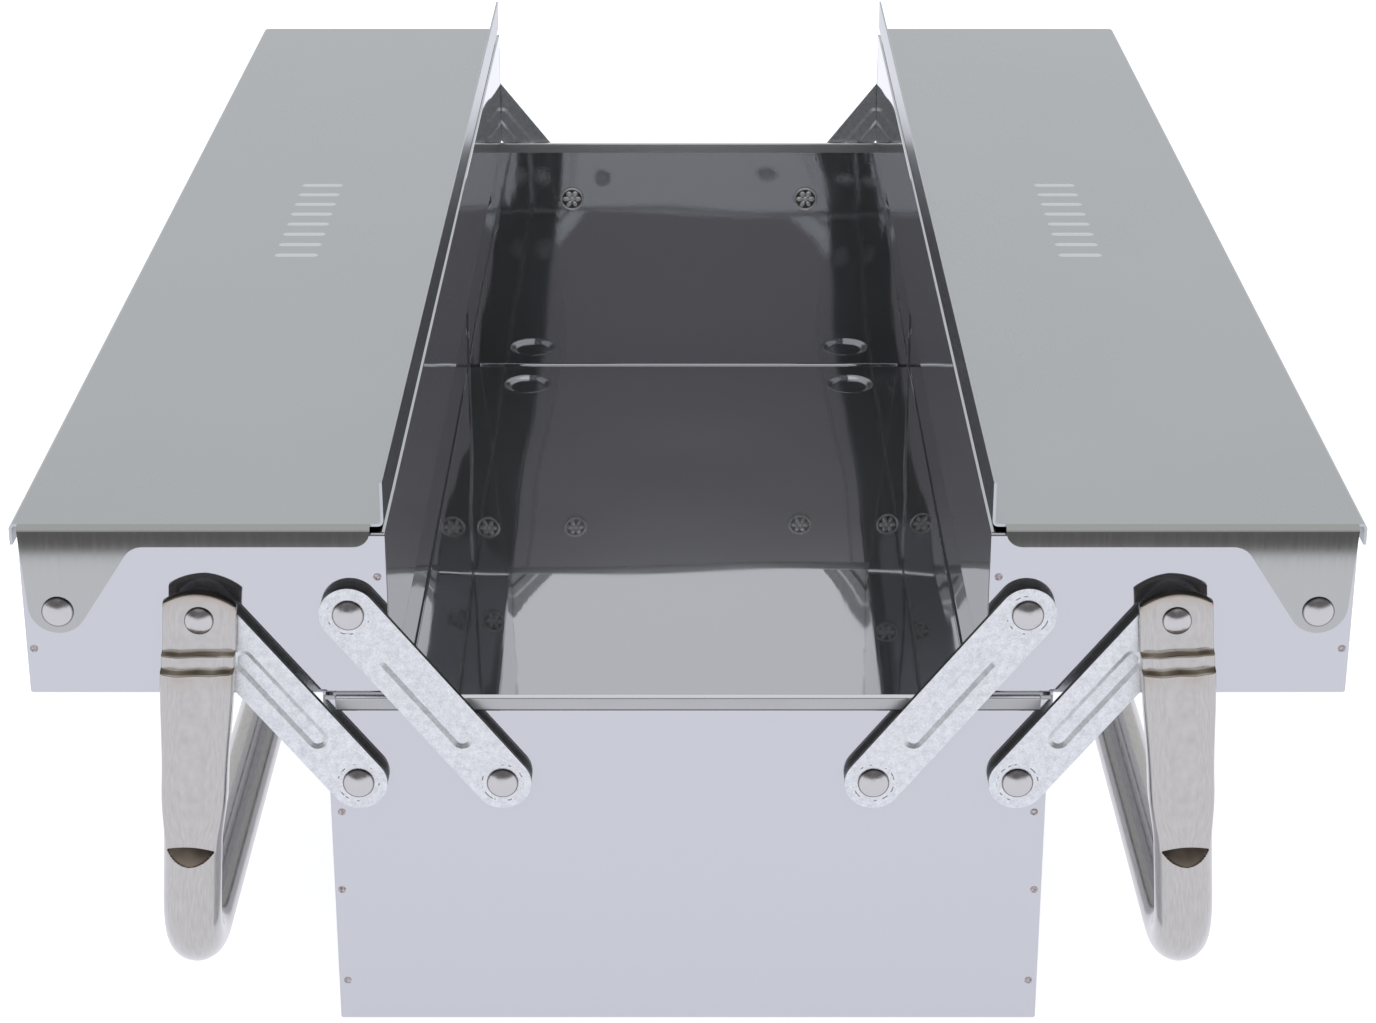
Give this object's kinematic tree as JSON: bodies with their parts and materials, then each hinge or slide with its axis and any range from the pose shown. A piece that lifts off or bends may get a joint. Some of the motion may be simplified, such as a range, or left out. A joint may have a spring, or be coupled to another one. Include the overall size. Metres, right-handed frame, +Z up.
{
  "type": "cantilever tool box",
  "caption": "Folded steel tool box standing open, with hinged upper trays on parallel strap arms, flat lids and tube carrying handles.",
  "frame": {"origin": "centre of the footprint of the open box, on the surface it stands on", "axes": "+X to the right across the box, +Y along the box away from the pictured end, +Z up"},
  "size_m": [0.3668, 0.5394, 0.1711],
  "materials": {
    "mirror_steel": "mirror polished stainless sheet",
    "satin_lid": "satin stainless sheet",
    "zinc_steel": "bright zinc plated steel strap",
    "brushed_tube": "brushed stainless tube with heat tint at the flattened ends",
    "rivet_steel": "bright steel rivets"
  },
  "bodies": {
    "base": {"base_pan": "mirror_steel", "base_sides": "mirror_steel", "base_rivets_front": "rivet_steel", "base_rivets_rear": "rivet_steel", "base_washers_front": "zinc_steel", "base_washers_rear": "zinc_steel"},
    "right_outer_arms": {"right_outer_arm_front": "zinc_steel", "right_outer_arm_rear": "zinc_steel"},
    "right_inner_arms": {"right_inner_arm_front": "zinc_steel", "right_inner_arm_rear": "zinc_steel"},
    "right_tray": {"right_tray_pan": "mirror_steel", "right_tray_sides": "mirror_steel", "right_tray_rivets": "rivet_steel", "right_tray_washers": "zinc_steel", "right_handle_rivets": "rivet_steel", "right_lid_rivets": "rivet_steel"},
    "right_lid": {"right_lid": "satin_lid", "right_lid_ends": "satin_lid"},
    "right_handle": {"right_handle": "brushed_tube", "right_handle_legs": "brushed_tube"},
    "left_outer_arms": {"left_outer_arm_front": "zinc_steel", "left_outer_arm_rear": "zinc_steel"},
    "left_inner_arms": {"left_inner_arm_front": "zinc_steel", "left_inner_arm_rear": "zinc_steel"},
    "left_tray": {"left_tray_pan": "mirror_steel", "left_tray_sides": "mirror_steel", "left_tray_rivets": "rivet_steel", "left_tray_washers": "zinc_steel", "left_handle_rivets": "rivet_steel", "left_lid_rivets": "rivet_steel"},
    "left_lid": {"left_lid": "satin_lid", "left_lid_ends": "satin_lid"},
    "left_handle": {"left_handle": "brushed_tube", "left_handle_legs": "brushed_tube"}
  },
  "joints": [
    {"name": "right_arms_swing", "type": "hinge", "parent": "base", "child": "right_outer_arms", "pos_m": [0.0915, 0, 0.0815], "axis": [0, -1, 0], "range_deg": [0, 76.4]},
    {"name": "right_inner_arms_swing", "type": "hinge", "parent": "base", "child": "right_inner_arms", "pos_m": [0.05151, 0, 0.0815], "axis": [0, -1, 0], "range_deg": [0, 76.4]},
    {"name": "right_tray_level", "type": "hinge", "parent": "right_outer_arms", "child": "right_tray", "pos_m": [0.13231, 0, 0.13337], "axis": [0, -1, 0], "range_deg": [-76.4, 0]},
    {"name": "right_lid_hinge", "type": "hinge", "parent": "right_tray", "child": "right_lid", "pos_m": [0.17163, 0, 0.13337], "axis": [0, -1, 0], "range_deg": [-115, 0]},
    {"name": "right_handle_swing", "type": "hinge", "parent": "right_outer_arms", "child": "right_handle", "pos_m": [0.13231, 0, 0.13337], "axis": [0, -1, 0], "range_deg": [-17, 123]},
    {"name": "left_arms_swing", "type": "hinge", "parent": "base", "child": "left_outer_arms", "pos_m": [-0.0915, 0, 0.0815], "axis": [0, 1, 0], "range_deg": [0, 76.4]},
    {"name": "left_inner_arms_swing", "type": "hinge", "parent": "base", "child": "left_inner_arms", "pos_m": [-0.05151, 0, 0.0815], "axis": [0, 1, 0], "range_deg": [0, 76.4]},
    {"name": "left_tray_level", "type": "hinge", "parent": "left_outer_arms", "child": "left_tray", "pos_m": [-0.13231, 0, 0.13337], "axis": [0, 1, 0], "range_deg": [-76.4, 0]},
    {"name": "left_lid_hinge", "type": "hinge", "parent": "left_tray", "child": "left_lid", "pos_m": [-0.17163, 0, 0.13337], "axis": [0, 1, 0], "range_deg": [-115, 0]},
    {"name": "left_handle_swing", "type": "hinge", "parent": "left_outer_arms", "child": "left_handle", "pos_m": [-0.13231, 0, 0.13337], "axis": [0, 1, 0], "range_deg": [-17, 123]}
  ],
  "couplings": [
    {"joint": "right_inner_arms_swing", "follows": "right_arms_swing", "ratio": 1},
    {"joint": "right_tray_level", "follows": "right_arms_swing", "ratio": -1},
    {"joint": "left_inner_arms_swing", "follows": "left_arms_swing", "ratio": 1},
    {"joint": "left_tray_level", "follows": "left_arms_swing", "ratio": -1}
  ]
}
